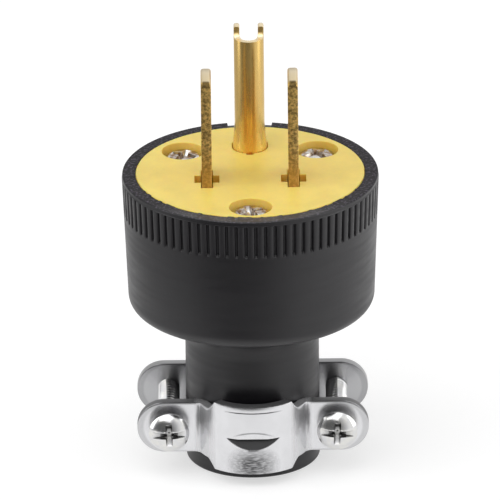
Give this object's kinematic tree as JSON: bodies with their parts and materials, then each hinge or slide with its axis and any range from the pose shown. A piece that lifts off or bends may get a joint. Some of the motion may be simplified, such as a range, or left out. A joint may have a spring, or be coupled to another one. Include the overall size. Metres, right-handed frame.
{
  "type": "straight blade plug",
  "caption": "Round grounded cord plug: flat blades and a folded ground pin in a screwed-in face, a ribbed moulded shell, and a stamped screw clamp round the cord neck.",
  "frame": {"origin": "centre of the neck's open end, on the surface that the plug stands on", "axes": "+Z from the cord entry to the blade tips, -Y from the ground pin to the blades, +X to the hot blade"},
  "size_m": [0.0378, 0.0377, 0.064],
  "materials": {
    "black_vinyl": "moulded, soft satin",
    "yellow_plastic": "moulded, satin",
    "carrier_plastic": "moulded, satin",
    "blade_brass": "stamped, lightly tarnished",
    "pin_brass": "folded sheet, bright",
    "terminal_brass": "stamped, bright",
    "screw_steel": "zinc plated, bright",
    "zinc_steel": "zinc plated sheet, satin",
    "green_screw": "dyed green"
  },
  "bodies": {
    "root": {"body_shell": "black_vinyl", "face_plate": "yellow_plastic", "terminal_carrier": "carrier_plastic", "neutral_blade": "blade_brass", "hot_blade": "blade_brass", "ground_pin": "pin_brass", "face_screw_front": "screw_steel", "face_screw_left": "screw_steel", "face_screw_right": "screw_steel", "neutral_terminal_screw": "screw_steel", "hot_terminal_screw": "terminal_brass", "ground_terminal_screw": "green_screw", "neutral_wire_clamp": "terminal_brass", "hot_wire_clamp": "terminal_brass", "ground_wire_clamp": "terminal_brass", "front_clamp_half": "zinc_steel", "rear_clamp_half": "zinc_steel", "left_clamp_screw": "screw_steel", "right_clamp_screw": "screw_steel"}
  },
  "joints": []
}
